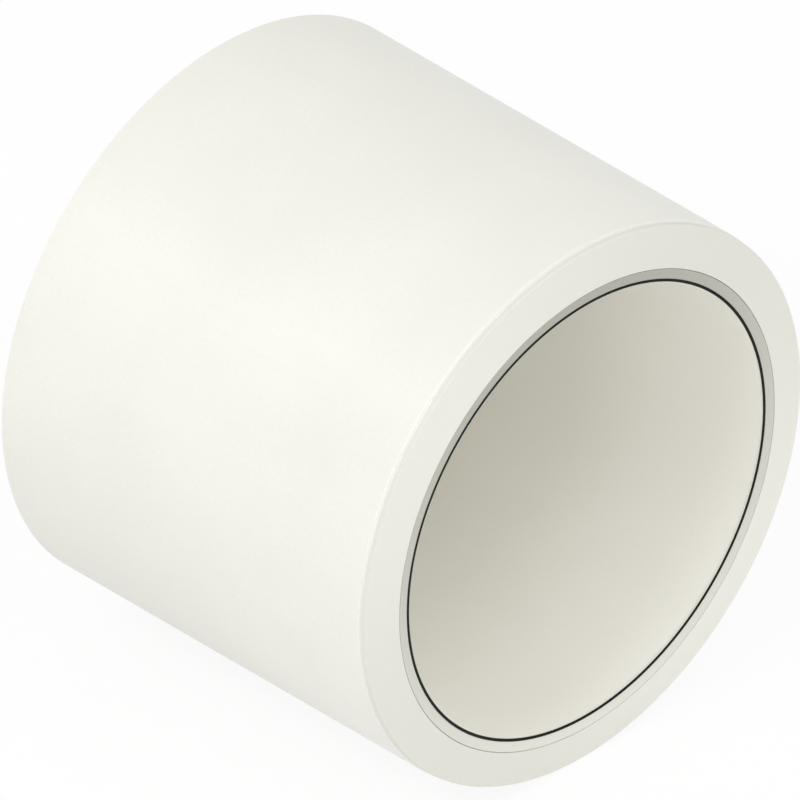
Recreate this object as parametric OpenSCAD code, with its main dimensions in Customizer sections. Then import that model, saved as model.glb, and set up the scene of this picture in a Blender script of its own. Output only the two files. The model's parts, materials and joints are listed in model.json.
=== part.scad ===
// Eccentric pipe reducer: a plain cylindrical fitting whose outside goes into the socket of a
// larger pipe and whose mouth takes a smaller pipe on an axis set off from its own.
// The fitting's axis runs along X, the mouth faces +X, and the origin is the middle of the rear end.

/* [Large end] */
// Outside diameter, which goes into the larger pipe's socket
large_od = 141.3; // [138:0.1:200]
// Wall of the outer sleeve
sleeve_wall = 6; // [3:0.1:7]
// Bevel inside the sleeve's rear edge
rear_bevel = 1; // [0.2:0.1:2]
// Rounding of the sleeve's front outer edge
sleeve_edge = 1; // [0.2:0.1:1.5]

/* [Small end] */
// Outside diameter of the smaller pipe
small_pipe_od = 114.3; // [80:0.1:116]
// Radial clearance of that pipe in the socket
pipe_clearance = 0.2; // [0.1:0.05:0.5]
// Depth of the socket sleeve, from the stop to its front end
socket_depth = 85.9; // [40:0.1:140]
// Wall of the socket sleeve
socket_wall = 3.15; // [2.4:0.05:4]
// Wall of the smaller pipe, which meets the stop
small_pipe_wall = 5.95; // [3:0.05:10]

/* [Offset between the two pipes] */
// Distance from the large axis to the small one
axis_offset = 2.54; // [0:0.01:3.5]
// Turn of that offset about the fitting's axis, from straight down towards +Y
offset_turn = 35; // [0:5:360]

/* [Front ring] */
// Depth of the ring's plug inside the sleeve
plug_depth = 14; // [6:0.5:30]
// Thickness of the rim that stands in front of the sleeve
rim_thickness = 1.5; // [1.2:0.1:4]
// How far the rim's edge lies inside the sleeve's outside
rim_inset = 0.25; // [0:0.05:1]
// Rounding of the rim's front edge
rim_rounding = 0.3; // [0.1:0.1:1.1]

/* [Retaining cap] */
// Thickness of the cap's front plate at its outer edge
cap_plate = 0.7; // [0.6:0.1:2]
// Drop of the plate's dished front between its outer and inner edge
cap_dish = 0.4; // [0.1:0.1:0.5]
// Thickness of the cap's skirt
cap_skirt = 1.4; // [1:0.1:1.6]
// Length of the skirt behind the plate
cap_length = 7; // [4:0.5:12]
// Height of the snap bead inside the skirt
snap_height = 0.3; // [0.2:0.05:0.4]
// Length of the snap bead
snap_length = 1.2; // [0.8:0.1:2]

/* [Lip seal] */
// Thickness of the seal's web, which the cap clamps
web_thickness = 0.4; // [0.3:0.1:1]
// Radius of the bead along the seal's inner edge
bead_radius = 0.3; // [0.2:0.05:0.5]
// Radial bite of the relaxed lip on the smaller pipe
lip_bite = 0.05; // [0:0.01:0.1]

/* [Transition ring] */
// Setback of the ring from the sleeve's rear end
ring_setback = 6; // [0:0.5:20]
// Length of the offset cone
cone_length = 18; // [8:0.5:60]
// Diameter of the cone's wide end
cone_wide = 122; // [112:0.1:123]
// Length of the bevel that leads from the large bore into the cone
bevel_length = 5; // [2:0.5:8]
// Flat left round that bevel on the ring's rear face
bevel_lip = 0.6; // [0.3:0.1:1]
// Thickness of the stop
stop_length = 6; // [3:0.5:12]
// Depth of the seat that holds the socket sleeve
seat_depth = 6; // [3:0.5:20]

/* [Fits] */
// Radial gap of a cemented joint
bond_gap = 0.1; // [0.05:0.05:0.2]
// Radial gap between the snap-on cap, the seal and what they sit on
snap_gap = 0.1; // [0.05:0.05:0.2]

/* [Hidden] */

fine = 128;          // facets of a round preview
arc_steps = 6;       // straight steps in a rounded corner
overcut = 1;         // how far a cutter runs past the face it cuts

// Stations along the axis, from the rear end
stop_back = ring_setback + cone_length;
stop_front = stop_back + stop_length;
socket_front = stop_front + socket_depth;
cap_back = socket_front + web_thickness;
total_length = cap_back + cap_plate;
sleeve_length = total_length - rim_thickness;

// Radii about the large axis
sleeve_or = large_od / 2;
sleeve_ir = sleeve_or - sleeve_wall;
insert_r = sleeve_ir - bond_gap;
rim_r = sleeve_or - rim_inset;

// Radii about the small axis
socket_ir = small_pipe_od / 2 + pipe_clearance;
socket_or = socket_ir + socket_wall;
seat_r = socket_or + bond_gap;
rebate_r = socket_or - cap_skirt - snap_gap;
stop_r = small_pipe_od / 2 - small_pipe_wall;
lip_r = small_pipe_od / 2 - lip_bite;
bead_axis_r = lip_r + bead_radius;
cap_edge_r = bead_axis_r + bead_radius + snap_gap / 2;
snap_groove = snap_height + snap_gap;
bead_height = cap_back + bead_radius / 3;

// A quarter circle as points, from the angle a to the angle a + 90
function corner(x, y, r, a) =
    [for (i = [0:arc_steps]) let (t = a + 90 * i / arc_steps) [x + r * cos(t), y + r * sin(t)]];

// Turns a shape that was drawn along Z so that it lies along X, with its +X side down
module along_x() rotate([0, 90, 0]) children();

// Places a shape that was drawn about Z on the small axis
module on_small_axis() along_x() rotate([0, 0, offset_turn]) translate([axis_offset, 0, 0]) children();

// A ring whose section is given as points of radius and height
module turned(section) rotate_extrude($fn = fine) polygon(section);

// Straight length of pipe that carries everything, with a square rear end
module outer_sleeve() {
    color("ivory") along_x() turned(concat(
        [[sleeve_ir, rear_bevel], [sleeve_ir + rear_bevel, 0], [sleeve_or, 0]],
        corner(sleeve_or - sleeve_edge, sleeve_length - sleeve_edge, sleeve_edge, 0),
        [[sleeve_ir, sleeve_length]]
    ));
}

// Ring that closes the front of the sleeve and holds the socket sleeve off centre
module front_ring() {
    color("linen") difference() {
        along_x() turned(concat(
            [[0, sleeve_length - plug_depth], [insert_r, sleeve_length - plug_depth]],
            [[insert_r, sleeve_length], [rim_r, sleeve_length]],
            corner(rim_r - rim_rounding, total_length - rim_rounding, rim_rounding, 0),
            [[0, total_length]]
        ));
        on_small_axis() translate([0, 0, sleeve_length - plug_depth - overcut])
            cylinder(h = plug_depth + rim_thickness + 2 * overcut, r = seat_r, $fn = fine);
    }
}

// Inner tube that takes the smaller pipe, with its front end turned down for the cap
module socket_sleeve() {
    skirt_back = cap_back - cap_length - snap_gap;
    groove_front = skirt_back + snap_gap + snap_length + snap_gap;
    color("antiquewhite") on_small_axis() turned([
        [socket_ir, stop_front],
        [socket_or, stop_front],
        [socket_or, skirt_back],
        [rebate_r - snap_groove, skirt_back],
        [rebate_r - snap_groove, groove_front],
        [rebate_r, groove_front + snap_groove],
        [rebate_r, socket_front],
        [socket_ir, socket_front]
    ]);
}

// Ring that seats the socket sleeve, stops the smaller pipe and widens to the large bore
module transition_ring() {
    bevel_deep_r = cone_wide / 2 - axis_offset;
    color("wheat") difference() {
        along_x() translate([0, 0, ring_setback])
            cylinder(h = stop_front + seat_depth - ring_setback, r = insert_r, $fn = fine);
        on_small_axis() translate([0, 0, stop_front])
            cylinder(h = seat_depth + overcut, r = seat_r, $fn = fine);
        on_small_axis() translate([0, 0, ring_setback - overcut])
            cylinder(h = stop_front - ring_setback + 2 * overcut, r = stop_r, $fn = fine);
        on_small_axis() translate([0, 0, ring_setback])
            cylinder(h = cone_length, r1 = cone_wide / 2, r2 = stop_r, $fn = fine);
        along_x() translate([0, 0, ring_setback])
            cylinder(h = bevel_length, r1 = insert_r - bevel_lip, r2 = bevel_deep_r, $fn = fine);
        along_x() translate([0, 0, ring_setback - overcut])
            cylinder(h = overcut, r = insert_r - bevel_lip, $fn = fine);
    }
}

// Thin rubber ring whose web is clamped under the cap and whose bead wipes the smaller pipe
module lip_seal() {
    color("dimgray") on_small_axis() union() {
        turned([
            [bead_axis_r, socket_front], [rebate_r, socket_front],
            [rebate_r, cap_back], [bead_axis_r, cap_back]
        ]);
        rotate_extrude($fn = fine) translate([bead_axis_r, bead_height]) circle(r = bead_radius, $fn = 32);
    }
}

// Snap-on cap, flush with the front ring, with a dished lead-in for the pipe
module retaining_cap() {
    skirt_end = cap_back - cap_length;
    skirt_ir = rebate_r + snap_gap;
    color("ivory") on_small_axis() turned([
        [skirt_ir - snap_height, skirt_end],
        [socket_or, skirt_end],
        [socket_or, total_length],
        [cap_edge_r, total_length - cap_dish],
        [cap_edge_r, cap_back],
        [skirt_ir, cap_back],
        [skirt_ir, skirt_end + snap_length + snap_height],
        [skirt_ir - snap_height, skirt_end + snap_length]
    ]);
}

outer_sleeve();
front_ring();
socket_sleeve();
transition_ring();
lip_seal();
retaining_cap();
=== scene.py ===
import json
import math

import bpy
import numpy as np
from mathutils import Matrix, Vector


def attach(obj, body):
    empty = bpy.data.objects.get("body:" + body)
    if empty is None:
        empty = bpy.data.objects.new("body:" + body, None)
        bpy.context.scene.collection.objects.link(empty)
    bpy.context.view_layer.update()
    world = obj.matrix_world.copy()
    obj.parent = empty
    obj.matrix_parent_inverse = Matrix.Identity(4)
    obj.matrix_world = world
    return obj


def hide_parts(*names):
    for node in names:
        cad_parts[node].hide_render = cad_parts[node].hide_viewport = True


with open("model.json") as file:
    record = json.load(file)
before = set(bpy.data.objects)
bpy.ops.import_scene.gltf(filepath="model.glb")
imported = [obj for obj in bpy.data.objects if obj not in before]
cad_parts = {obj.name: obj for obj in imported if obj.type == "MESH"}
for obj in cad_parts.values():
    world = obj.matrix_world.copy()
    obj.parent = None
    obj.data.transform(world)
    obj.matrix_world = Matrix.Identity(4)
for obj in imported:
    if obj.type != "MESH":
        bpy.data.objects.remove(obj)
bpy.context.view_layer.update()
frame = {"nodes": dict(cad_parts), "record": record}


# Outer sleeve. A length of rigid PVC pipe that carries every other piece and goes into the larger
# pipe's socket. It is extruded, which leaves faint lines along it, then sawn square and deburred.
MM = 0.001
SLEEVE_RADIUS = 70.65
SLEEVE_BORE = 64.65
SLEEVE_LENGTH = 115.5
REAR_BEVEL = 1.0
FRONT_EDGE = 1.0
SAWN_DEPTH = 0.3


def rounded_section(corners, radii, steps):
    """Closed section in mm, in rows of (height, radius, axis share, normal along, normal out).

    The section runs with the material on its right. Each corner (height, radius, axis share)
    becomes an arc that touches the two straight sides that meet there: it starts
    r * tan(half the turn) before the corner, and its normal turns evenly from the first side's
    to the second's.
    """
    corners, radii = np.array(corners, float), np.array(radii, float)[:, None]
    flat = corners[:, :2]
    side = np.roll(flat, -1, axis=0) - flat
    side /= np.linalg.norm(side, axis=1, keepdims=True)
    before = np.roll(side, 1, axis=0)
    turn = np.arctan2(np.cross(before, side), (before * side).sum(1))[:, None]
    left = np.stack([-before[:, 1], before[:, 0]], 1)
    bulge = -np.sign(turn) * radii
    centre = flat - before * radii * np.tan(np.abs(turn) / 2) - left * bulge
    angle = turn * np.linspace(0, 1, steps)
    normal = np.stack(
        [
            left[:, :1] * np.cos(angle) - left[:, 1:] * np.sin(angle),
            left[:, :1] * np.sin(angle) + left[:, 1:] * np.cos(angle),
        ],
        2,
    )
    points = centre[:, None] + bulge[:, None] * normal
    share = np.broadcast_to(corners[:, None, 2:], points[..., :1].shape)
    return np.concatenate([points, share, normal], 2).reshape(-1, 5)


def closed_grid(name, place, normal, edge):
    """Mesh object from a grid in mm that closes on itself both ways, with a normal and an edge
    share, 1 on a rounded edge and 0 elsewhere, at each point."""
    turns, rows = place.shape[:2]
    i, j = np.meshgrid(np.arange(turns), np.arange(rows), indexing="ij")
    i_next, j_next = (i + 1) % turns, (j + 1) % rows
    row, next_row = i * rows, i_next * rows
    quads = np.stack([row + j, next_row + j, next_row + j_next, row + j_next], 2)
    mesh = bpy.data.meshes.new(name)
    mesh.from_pydata(place.reshape(-1, 3) * MM, [], quads.reshape(-1, 4), shade_flat=False)
    mask = mesh.attributes.new("edge", "FLOAT", "POINT")
    mask.data.foreach_set("value", np.broadcast_to(edge, (turns, rows)).ravel().astype(np.float32))
    mesh.normals_split_custom_set_from_vertices(normal.reshape(-1, 3))
    piece = bpy.data.objects.new(name, mesh)
    bpy.context.scene.collection.objects.link(piece)
    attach(piece, "root")
    return piece


def turned(name, corners, radii, turns=360, steps=7):
    """Solid of revolution. A section row at the turn t lies at radius * (cos t, sin t) about its
    own axis, which is the large axis for share 0 and the small axis for share 1."""
    section = rounded_section(corners, radii, steps)
    height, radius, share, along, outward = section.T
    t = np.linspace(0, 2 * math.pi, turns, endpoint=False)[:, None]
    spokes = np.stack([np.cos(t) + 0 * radius, np.sin(t) + 0 * radius], 2)
    place = np.empty((turns, len(section), 3))
    place[..., 0] = height
    place[..., 1:] = spokes * radius[:, None] + share[:, None] * SMALL_AXIS
    normal = np.empty_like(place)
    normal[..., 0] = along
    normal[..., 1:] = spokes * outward[:, None]
    share_of_arc = np.sin(np.linspace(0, math.pi, steps))
    return closed_grid(name, place, normal, np.tile(share_of_arc, len(corners)))


mounts = {mount["name"]: mount for mount in frame["record"]["mounts"]}
SMALL_AXIS = np.array(mounts["small_socket"]["pos_m"][1:]) / MM

sleeve = turned(
    "sleeve_pipe",
    [
        (0, SLEEVE_BORE + REAR_BEVEL, 0),
        (0, SLEEVE_RADIUS, 0),
        (SLEEVE_LENGTH, SLEEVE_RADIUS, 0),
        (SLEEVE_LENGTH, SLEEVE_BORE, 0),
        (REAR_BEVEL, SLEEVE_BORE, 0),
    ],
    [0.2, 0.15, FRONT_EDGE, 0.2, 0.2],
)
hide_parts("outer_sleeve")


def add(tree, kind, sockets=(), **settings):
    """A new node. A socket's value is a plain one, or the output that feeds it."""
    made = tree.nodes.new("ShaderNode" + kind)
    for name, value in settings.items():
        setattr(made, name, value)
    for key, value in dict(sockets).items():
        if isinstance(value, bpy.types.NodeSocket):
            tree.links.new(value, made.inputs[key])
        else:
            made.inputs[key].default_value = value
    return made


def math_node(tree, operation, *values):
    """The output of a Math node that takes the values in order."""
    return add(tree, "Math", enumerate(values), operation=operation).outputs[0]


def effect(name, inputs, outputs):
    """An empty node group with its end nodes' sockets. All are numbers, except a Vector input."""
    tree = bpy.data.node_groups.new(name, "ShaderNodeTree")
    for socket in inputs:
        kind = "NodeSocketVector" if socket == "Vector" else "NodeSocketFloat"
        tree.interface.new_socket(socket, in_out="INPUT", socket_type=kind)
    for socket in outputs:
        tree.interface.new_socket(socket, in_out="OUTPUT", socket_type="NodeSocketFloat")
    return tree, tree.nodes.new("NodeGroupInput").outputs, tree.nodes.new("NodeGroupOutput").inputs


def send(tree, source, target):
    """Links an output to an input."""
    tree.links.new(source, target)


def noise(tree, vector, scale, detail):
    """Fractal noise about 0.5. The scale is its number of features to one unit of the vector."""
    sockets = {"Vector": vector, "Scale": scale, "Detail": detail}
    return add(tree, "TexNoise", sockets).outputs["Fac"]


def ramp(tree, value, low, high, out_low=0.0, out_high=1.0):
    """The value from low to high, carried to out_low to out_high with soft ends."""
    sockets = enumerate([value, low, high, out_low, out_high])
    return add(tree, "MapRange", sockets, interpolation_type="SMOOTHSTEP").outputs[0]


def stretched(tree, vector, scale):
    """The vector times the scale, each axis by itself."""
    return add(tree, "VectorMath", {0: vector, 1: scale}, operation="MULTIPLY").outputs[0]


# Clouds: broad uneven tone of the plastic and fine speckle of its filler, about 0.5.
clouds, given, made = effect("clouds", ["Vector"], ["Tone"])
broad = noise(clouds, given["Vector"], 22.0, 2.0)
speckle = noise(clouds, given["Vector"], 1400.0, 1.0)
broad_part = math_node(clouds, "MULTIPLY", broad, 0.65)
send(clouds, math_node(clouds, "MULTIPLY_ADD", speckle, 0.35, broad_part), made["Tone"])

# Die lines: ridges and dull streaks that run along X, as an extruder's die leaves them.
die_lines, given, made = effect("die_lines", ["Vector"], ["Height", "Streak"])
fine = noise(die_lines, stretched(die_lines, given["Vector"], (4.0, 900.0, 900.0)), 1.0, 2.0)
coarse = noise(die_lines, stretched(die_lines, given["Vector"], (1.5, 160.0, 160.0)), 1.0, 2.0)
send(die_lines, math_node(die_lines, "ADD", fine, coarse), made["Height"])
send(die_lines, ramp(die_lines, coarse, 0.45, 0.75), made["Streak"])

# Scuffs: short fine scratches that cross each other, only where the piece was handled.
scuffs, given, made = effect("scuffs", ["Vector"], ["Mask"])
strokes = []
for turn in (0.35, 1.9, 2.75):
    sockets = {"Vector": given["Vector"], "Rotation": (turn, 0.6 * turn, 1.3 * turn)}
    leaned = add(scuffs, "Mapping", sockets).outputs[0]
    thin = noise(scuffs, stretched(scuffs, leaned, (60.0, 1500.0, 60.0)), 1.0, 1.0)
    strokes.append(ramp(scuffs, thin, 0.68, 0.74))
handled = ramp(scuffs, noise(scuffs, given["Vector"], 35.0, 1.0), 0.5, 0.68)
most = math_node(scuffs, "MAXIMUM", strokes[0], strokes[1])
most = math_node(scuffs, "MAXIMUM", most, strokes[2])
send(scuffs, math_node(scuffs, "MULTIPLY", most, handled), made["Mask"])

# Rubbed edge: where a rounded edge has lost its skin, in patches. The materials also use it to
# paint a highlight on the rounded edges.
edge_wear_and_highlight, given, made = effect("edge_wear_and_highlight", ["Vector", "Edge"], ["Mask"])
patches = ramp(edge_wear_and_highlight, noise(edge_wear_and_highlight, given["Vector"], 160.0, 3.0), 0.38, 0.62, 0.25, 1.0)
send(edge_wear_and_highlight, math_node(edge_wear_and_highlight, "MULTIPLY", given["Edge"], patches), made["Mask"])

# Saw marks: long shallow grooves straight across an end face, close together and uneven.
saw_marks, given, made = effect("saw_marks", ["Vector"], ["Height"])
across = stretched(saw_marks, given["Vector"], (0.0, 25.0, 1300.0))
send(saw_marks, noise(saw_marks, across, 1.0, 3.0), made["Height"])


def place_effect(tree, group, **sockets):
    """The outputs of a group placed in a material."""
    return add(tree, "Group", sockets, node_tree=group).outputs


def new_material(name, roughness):
    """A material with its tree, its Principled shader and the object's coordinates."""
    material = bpy.data.materials.new(name)
    material.use_nodes = True
    tree = material.node_tree
    shader = tree.nodes["Principled BSDF"]
    shader.inputs["Roughness"].default_value = roughness
    return material, tree, shader, add(tree, "TexCoord").outputs["Object"]


def tinted(tree, colour, other, share):
    """The first colour, carried to the other by the share."""
    sockets = {0: share, 6: colour, 7: other}
    return add(tree, "Mix", sockets, data_type="RGBA").outputs[2]


def clouded(tree, coords, dark, light, low=0.3):
    """A colour that drifts from dark to light with the clouds."""
    tone = place_effect(tree, clouds, Vector=coords)["Tone"]
    return tinted(tree, dark, light, ramp(tree, tone, low, 0.7))


def edge_wear_and_highlight_on(tree, coords):
    """Where the rounded edges of a mesh made here are rubbed and painted paler: wear and a painted
    highlight.
    """
    edge = add(tree, "Attribute", attribute_name="edge").outputs["Fac"]
    return place_effect(tree, edge_wear_and_highlight, Vector=coords, Edge=edge)["Mask"]


def roughened(tree, shader, worn, dull):
    """Carries the shader's own roughness to dull where the piece is worn."""
    roughness = shader.inputs["Roughness"]
    send(tree, ramp(tree, worn, 0.0, 1.0, roughness.default_value, dull), roughness)


def bumped(tree, shader, height, distance):
    """Raises the surface by the height times the distance in metres."""
    sockets = {"Height": height, "Distance": distance, "Strength": 1.0}
    send(tree, add(tree, "Bump", sockets).outputs["Normal"], shader.inputs["Normal"])


def paint(piece, material):
    """Gives the piece this one material."""
    piece.data.materials.clear()
    piece.data.materials.append(material)


sleeve_pvc, tree, shader, coords = new_material("sleeve_pvc", 0.36)
lines = place_effect(tree, die_lines, Vector=coords)
scratched = place_effect(tree, scuffs, Vector=coords)["Mask"]
worn_and_lit_edges = edge_wear_and_highlight_on(tree, coords)
colour = clouded(tree, coords, (0.795, 0.790, 0.723, 1), (0.835, 0.835, 0.772, 1))
streaky = math_node(tree, "MULTIPLY", lines["Streak"], 0.25)
colour = tinted(tree, colour, (0.805, 0.795, 0.723, 1), streaky)
# Rounded edges painted paler in patches: wear, and a painted highlight along the front edge.
paler = math_node(tree, "MULTIPLY", worn_and_lit_edges, 0.35)
colour = tinted(tree, colour, (0.87, 0.87, 0.82, 1), paler)
send(tree, colour, shader.inputs["Base Color"])
roughened(tree, shader, math_node(tree, "MAXIMUM", scratched, worn_and_lit_edges), 0.5)
sawn = place_effect(tree, saw_marks, Vector=coords)["Height"]
along = add(tree, "SeparateXYZ", {0: coords}).outputs["X"]
on_end = ramp(tree, along, 0.0, SAWN_DEPTH * MM, 1.0, 0.0)
relief = math_node(tree, "MULTIPLY_ADD", scratched, -0.4, lines["Height"])
relief = math_node(tree, "MULTIPLY_ADD", math_node(tree, "MULTIPLY", sawn, on_end), 2.5, relief)
bumped(tree, shader, relief, 0.00002)
paint(sleeve, sleeve_pvc)


# Transition ring. Turned from the same plastic and cemented inside the sleeve, set back from its
# end: it seats the socket sleeve off centre, stops the smaller pipe and widens to the large bore.
TRANSITION_BACK = 6.0

# Lathe rings: fine grooves round the X axis, uneven in depth from one to the next.
lathe_rings, given, made = effect("lathe_rings", ["Vector"], ["Height"])
flat = stretched(lathe_rings, given["Vector"], (0.0, 1.0, 1.0))
from_axis = add(lathe_rings, "VectorMath", {0: flat}, operation="LENGTH").outputs["Value"]
for_noise = add(lathe_rings, "CombineXYZ", {0: from_axis}).outputs[0]
send(lathe_rings, noise(lathe_rings, for_noise, 1800.0, 2.0), made["Height"])

transition_pvc, tree, shader, coords = new_material("transition_pvc", 0.4)
colour = clouded(tree, coords, (0.83, 0.815, 0.72, 1), (0.88, 0.87, 0.79, 1))
send(tree, colour, shader.inputs["Base Color"])
roughened(tree, shader, place_effect(tree, scuffs, Vector=coords)["Mask"], 0.52)
bumped(tree, shader, place_effect(tree, lathe_rings, Vector=coords)["Height"], 0.00002)
paint(frame["nodes"]["transition_ring"], transition_pvc)

# Solvent cement that a joint squeezed out, wiped to a thin, glossy, slightly uneven roll.
cement, tree, shader, coords = new_material("cement", 0.24)
colour = clouded(tree, coords, (0.79, 0.785, 0.72, 1), (0.85, 0.85, 0.79, 1))
send(tree, colour, shader.inputs["Base Color"])


def cement_bead(name, height, radius, size, share=0, turns=720, around=12):
    """Ring with a round section that swells and thins along the joint. At the turn t and the angle
    a of its section it lies at height - s cos a and radius + s sin a, where s is the size times
    1 + the sum of rise * sin(count * t + start) over four waves."""
    t = np.linspace(0, 2 * math.pi, turns, endpoint=False)[:, None]
    a = np.linspace(0, 2 * math.pi, around, endpoint=False)
    waves = [(5, 0.07, 0.3), (13, 0.06, 1.9), (31, 0.05, 4.0), (67, 0.03, 2.2)]
    swell = size * (1 + sum(rise * np.sin(count * t + start) for count, rise, start in waves))
    spokes = np.stack([np.cos(t) + 0 * a, np.sin(t) + 0 * a], 2)
    place = np.empty((turns, around, 3))
    place[..., 0] = height - swell * np.cos(a)
    place[..., 1:] = spokes * (radius + swell * np.sin(a))[..., None] + share * SMALL_AXIS
    normal = np.empty_like(place)
    normal[..., 0] = -np.cos(a)
    normal[..., 1:] = spokes * np.sin(a)[:, None]
    paint(closed_grid(name, place, normal, np.zeros(around)), cement)


cement_bead("rear_joint_cement", TRANSITION_BACK, SLEEVE_BORE, 0.5)


# Socket sleeve. Thin-walled tube of the same plastic, extruded and cemented between the two rings.
# Its smooth bore takes the smaller pipe. Its colour is painted darker towards the stop: painted
# shade for the deep bore.
SOCKET_BORE = 57.35
STOP_FRONT = 30.0
SOCKET_FRONT = 115.9
PAINTED_SHADE_DEEPEST, PAINTED_SHADE_ENDS = 15.0, 100.0
socket_pvc, tree, shader, coords = new_material("socket_pvc", 0.34)
along = add(tree, "SeparateXYZ", {0: coords}).outputs["X"]
out_of_painted_shade = ramp(tree, along, PAINTED_SHADE_DEEPEST * MM, PAINTED_SHADE_ENDS * MM)
colour = clouded(tree, coords, (0.935, 0.92, 0.855, 1), (0.955, 0.945, 0.885, 1))
# Painted shade: the colour darkens from the mouth towards the stop.
colour = tinted(tree, (0.66, 0.647, 0.565, 1), colour, out_of_painted_shade)
send(tree, colour, shader.inputs["Base Color"])
roughened(tree, shader, place_effect(tree, scuffs, Vector=coords)["Mask"], 0.46)
bumped(tree, shader, place_effect(tree, die_lines, Vector=coords)["Height"], 0.00001)
paint(frame["nodes"]["socket_sleeve"], socket_pvc)
cement_bead("stop_joint_cement", STOP_FRONT + 0.05, SOCKET_BORE - 0.05, 0.25, share=1)


# Front ring. Closes the front of the sleeve and holds the socket sleeve off centre. It is moulded
# from the same plastic, its plug is cemented into the sleeve, and its face is skimmed on a lathe.
RING_BACK = 101.5
RIM_RADIUS = 70.4
PLUG_RADIUS = 64.55
SEAT_RADIUS = 60.6
FRONT = 117.0
ring = turned(
    "front_ring_face",
    [
        (RING_BACK, SEAT_RADIUS, 1),
        (RING_BACK, PLUG_RADIUS, 0),
        (SLEEVE_LENGTH, PLUG_RADIUS, 0),
        (SLEEVE_LENGTH, RIM_RADIUS, 0),
        (FRONT, RIM_RADIUS, 0),
        (FRONT, SEAT_RADIUS, 1),
    ],
    [0.3, 0.3, 0.1, 0.1, 0.3, 0.15],
)
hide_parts("front_ring")

# Painted sheen: the turned face's colour is painted lighter along one diameter and darker along the
# other, a painted highlight for where its grooves would face the room's light: 1/2 - y z / (y y + z
# z).
painted_turned_sheen, given, made = effect("painted_turned_sheen", ["Vector"], ["Tone"])
place = add(painted_turned_sheen, "SeparateXYZ", {0: given["Vector"]}).outputs
both = math_node(painted_turned_sheen, "MULTIPLY", place["Y"], place["Z"])
square = math_node(painted_turned_sheen, "MULTIPLY", place["Y"], place["Y"])
squares = math_node(painted_turned_sheen, "MULTIPLY_ADD", place["Z"], place["Z"], square)
lean = math_node(painted_turned_sheen, "DIVIDE", both, squares)
send(painted_turned_sheen, math_node(painted_turned_sheen, "SUBTRACT", 0.5, lean), made["Tone"])

# The rim and the plug are painted darker than the face: a painted shade that keeps the rim's
# rounding from showing a second light line.
ring_pvc, tree, shader, coords = new_material("ring_pvc", 0.34)
along = add(tree, "SeparateXYZ", {0: coords}).outputs["X"]
unshaded_face = ramp(tree, along, (FRONT - 0.03) * MM, (FRONT - 0.01) * MM)
tone = place_effect(tree, clouds, Vector=coords)["Tone"]
# Painted sheen, mixed with the random tone, sets the face's colour.
painted_sheen = place_effect(tree, painted_turned_sheen, Vector=coords)["Tone"]
painted_sheen = math_node(tree, "MULTIPLY_ADD", painted_sheen, 0.85, -0.075)
painted_sheen = math_node(tree, "MULTIPLY_ADD", tone, 0.3, painted_sheen)
colour = tinted(tree, (0.742, 0.737, 0.669, 1), (0.835, 0.833, 0.765, 1), painted_sheen)
# Painted shade on the rim and the plug.
colour = tinted(tree, (0.728, 0.723, 0.655, 1), colour, unshaded_face)
paler = math_node(tree, "MULTIPLY", edge_wear_and_highlight_on(tree, coords), 0.2)
colour = tinted(tree, colour, (0.84, 0.84, 0.78, 1), paler)
send(tree, colour, shader.inputs["Base Color"])
roughened(tree, shader, place_effect(tree, scuffs, Vector=coords)["Mask"], 0.5)
shader.inputs["Anisotropic"].default_value = 0.8
round_axis = add(tree, "Tangent", direction_type="RADIAL", axis="X").outputs[0]
send(tree, round_axis, shader.inputs["Tangent"])
bumped(tree, shader, place_effect(tree, lathe_rings, Vector=coords)["Height"], 0.00001)
paint(ring, ring_pvc)
cement_bead("front_joint_cement", SLEEVE_LENGTH - 0.08, RIM_RADIUS - 0.2, 0.29)


# Lip seal. Ring moulded in two shots: a stiff pale web, clamped under the cap, and the soft black
# rubber bead in front of it that wipes the pipe.
WEB_FRONT = 116.3
BEAD_FRONT = 116.8
BEAD_BORE = 57.2
BEAD_OUTER = 57.9
WEB_OUTER = 59.0
BLACK_FROM = 116.55
seal = turned(
    "lip_seal_rubber",
    [
        (SOCKET_FRONT, SOCKET_BORE, 1),
        (SOCKET_FRONT, WEB_OUTER, 1),
        (WEB_FRONT, WEB_OUTER, 1),
        (WEB_FRONT, BEAD_OUTER, 1),
        (BEAD_FRONT, BEAD_OUTER, 1),
        (BEAD_FRONT, BEAD_BORE, 1),
        (SOCKET_FRONT + 0.2, BEAD_BORE, 1),
    ],
    [0.06, 0.05, 0.05, 0.05, 0.1, 0.2, 0.05],
)
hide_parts("lip_seal")
rubber, tree, shader, coords = new_material("black_rubber", 0.6)
colour = clouded(tree, coords, (0.004, 0.004, 0.004, 1), (0.012, 0.012, 0.011, 1), 0.4)
along = add(tree, "SeparateXYZ", {0: coords}).outputs["X"]
second_shot = ramp(tree, along, (BLACK_FROM - 0.02) * MM, (BLACK_FROM + 0.02) * MM)
colour = tinted(tree, (0.84, 0.825, 0.76, 1), colour, second_shot)
bumped(tree, shader, noise(tree, coords, 2500.0, 2.0), 0.00002)
send(tree, colour, shader.inputs["Base Color"])
shader.inputs["Specular IOR Level"].default_value = 0.15
paint(seal, rubber)


# Retaining cap. Ring moulded from the same plastic that snaps onto the socket sleeve, flush with
# the front ring. It clamps the seal, and its dished front leads the pipe in.
CAP_RADIUS = 60.5
CAP_BACK = 109.3
PLATE_BACK = WEB_FRONT
SNAP_RADIUS = 58.8
SKIRT_BORE = 59.1
DISHED_EDGE = 116.68
cap = turned(
    "cap_moulding",
    [
        (CAP_BACK, SNAP_RADIUS, 1),
        (CAP_BACK, CAP_RADIUS, 1),
        (FRONT, CAP_RADIUS, 1),
        (DISHED_EDGE, BEAD_OUTER, 1),
        (PLATE_BACK, BEAD_OUTER, 1),
        (PLATE_BACK, SKIRT_BORE, 1),
        (CAP_BACK + 1.5, SKIRT_BORE, 1),
        (CAP_BACK + 1.2, SNAP_RADIUS, 1),
    ],
    [0.2, 0.2, 0.15, 0.12, 0.05, 0.1, 0.2, 0.2],
)
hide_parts("retaining_cap")
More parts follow.
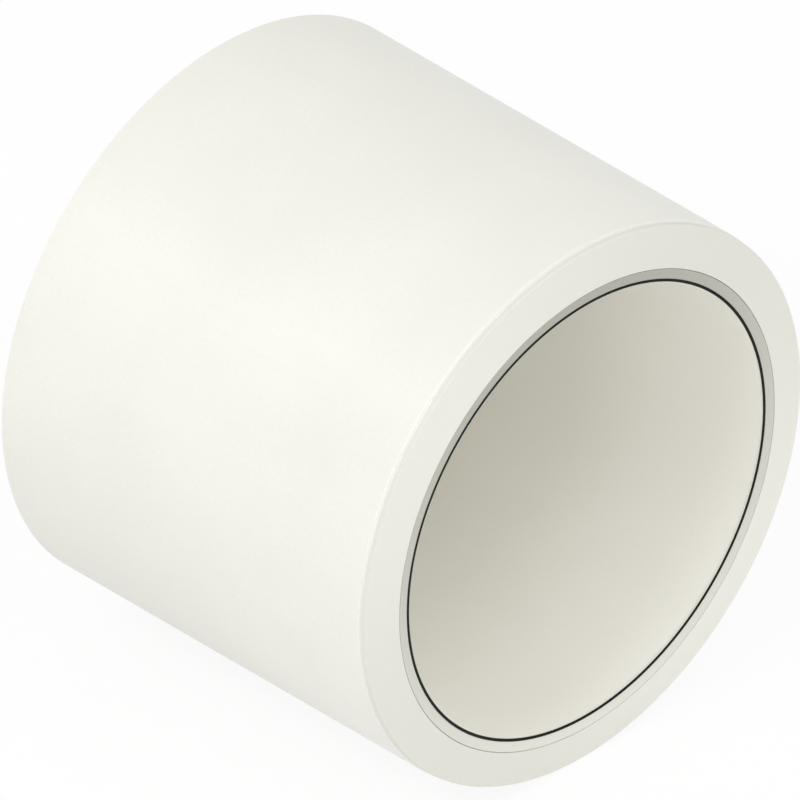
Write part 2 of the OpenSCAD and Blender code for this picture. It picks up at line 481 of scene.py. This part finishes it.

# Painted shade: the colour is painted dark at the cap's highest point and lighter towards its
# lowest, as a dished lead-in looks under light from above.
cap_pvc, tree, shader, coords = new_material("cap_pvc", 0.4)
centre = (0, SMALL_AXIS[0] * MM, SMALL_AXIS[1] * MM)
centred = add(tree, "VectorMath", {0: coords, 1: centre}, operation="SUBTRACT").outputs[0]
height = add(tree, "SeparateXYZ", {0: centred}).outputs["Z"]
low = math_node(tree, "MULTIPLY", height, -1 / (CAP_RADIUS * MM))
painted_light_share = math_node(tree, "MULTIPLY_ADD", low, 0.5, 0.5)
colour = tinted(tree, (0.405, 0.40, 0.347, 1), (0.76, 0.755, 0.683, 1), painted_light_share)
paler = math_node(tree, "MULTIPLY", edge_wear_and_highlight_on(tree, coords), 0.15)
colour = tinted(tree, colour, (0.84, 0.84, 0.78, 1), paler)
send(tree, colour, shader.inputs["Base Color"])
scratched = place_effect(tree, scuffs, Vector=coords)["Mask"]
roughened(tree, shader, scratched, 0.5)
grained = noise(tree, coords, 1500.0, 2.0)
bumped(tree, shader, math_node(tree, "MULTIPLY_ADD", scratched, -0.5, grained), 0.00001)
paint(cap, cap_pvc)


# Room. A plain white floor under the fitting, light from all round that is stronger from the front,
# a soft lamp above the side nearest the camera, one for the long highlight, and two for the mouth.
floor_low = -SLEEVE_RADIUS * MM
floor_mesh = bpy.data.meshes.new("floor")
reach = 3.0
outline = [(-reach, -reach), (reach, -reach), (reach, reach), (-reach, reach)]
floor_mesh.from_pydata([(x, y, floor_low) for x, y in outline], [], [(0, 1, 2, 3)])
floor = bpy.data.objects.new("floor", floor_mesh)
bpy.context.scene.collection.objects.link(floor)
FLOOR_SHARE = 0.13
FLOOR_GLOW = 1.02


def seen(tree):
    """1 for what the camera sees, straight or in a gloss or through glass."""
    path = add(tree, "LightPath").outputs
    either = math_node(tree, "MAXIMUM", path["Is Camera Ray"], path["Is Glossy Ray"])
    return math_node(tree, "MAXIMUM", either, path["Is Transmission Ray"])


white_floor = bpy.data.materials.new("white_floor")
white_floor.use_nodes = True
tree = white_floor.node_tree
tree.nodes.clear()
matt = add(tree, "BsdfDiffuse", {"Color": (0.85, 0.85, 0.85, 1)}).outputs[0]
glow = add(tree, "Emission", {"Color": (1, 1, 1, 1), "Strength": FLOOR_GLOW}).outputs[0]
share = math_node(tree, "MULTIPLY", seen(tree), 1 - FLOOR_SHARE)
mixed = add(tree, "MixShader", {0: share, 1: matt, 2: glow}).outputs[0]
send(tree, mixed, add(tree, "OutputMaterial").inputs["Surface"])
paint(floor, white_floor)

world = bpy.data.worlds.new("room")
world.use_nodes = True
tree = world.node_tree
background = tree.nodes["Background"]
background.inputs["Color"].default_value = (1, 1, 1, 1)
forward = add(tree, "SeparateXYZ", {0: add(tree, "TexCoord").outputs["Generated"]}).outputs["X"]
ROOM_LIGHT, MORE_FROM_FRONT = 0.765, 0.26
lit = math_node(tree, "MULTIPLY_ADD", forward, MORE_FROM_FRONT, ROOM_LIGHT)
send(tree, math_node(tree, "MAXIMUM", seen(tree), lit), background.inputs["Strength"])
bpy.context.scene.world = world

MIDDLE = Vector((0.058, 0, 0))
LAMP_DISTANCE = 1.2


def soft_lamp(name, towards, size, power):
    """A round lamp that stands off from the fitting's middle, and shines back at it."""
    lamp = bpy.data.lights.new(name, "AREA")
    lamp.shape, lamp.size, lamp.energy = "DISK", size, power
    stand = bpy.data.objects.new(name, lamp)
    bpy.context.scene.collection.objects.link(stand)
    direction = Vector(towards).normalized()
    stand.location = MIDDLE + direction * LAMP_DISTANCE
    stand.rotation_mode = "QUATERNION"
    stand.rotation_quaternion = direction.to_track_quat("Z", "Y")


soft_lamp("key", (0.05, -1, 1), 0.4, 3.3)
soft_lamp("left", (1.35, -1.37, -0.1), 0.4, 0.8)
soft_lamp("top", (1.35, 0.37, 1.37), 0.4, 1.5)
soft_lamp("long_highlight", (-0.6, -1, 1), 0.25, 0.9)

camera_data = bpy.data.cameras.new("camera")
camera_data.type = "ORTHO"
VIEW_IN_DIAMETERS = 1.2930
AIM = Vector((0.05794, 0.000068, 0.000068))
camera_data.ortho_scale = 2 * SLEEVE_RADIUS * MM * VIEW_IN_DIAMETERS
camera = bpy.data.objects.new("camera", camera_data)
bpy.context.scene.collection.objects.link(camera)
back = Vector((1, -1, 1)).normalized()
camera.location = AIM + back
camera.rotation_mode = "QUATERNION"
camera.rotation_quaternion = (-back).to_track_quat("-Z", "Y")
camera_data.clip_start, camera_data.clip_end = 0.01, 20
bpy.context.scene.camera = camera
bpy.context.scene.view_settings.view_transform = "Standard"
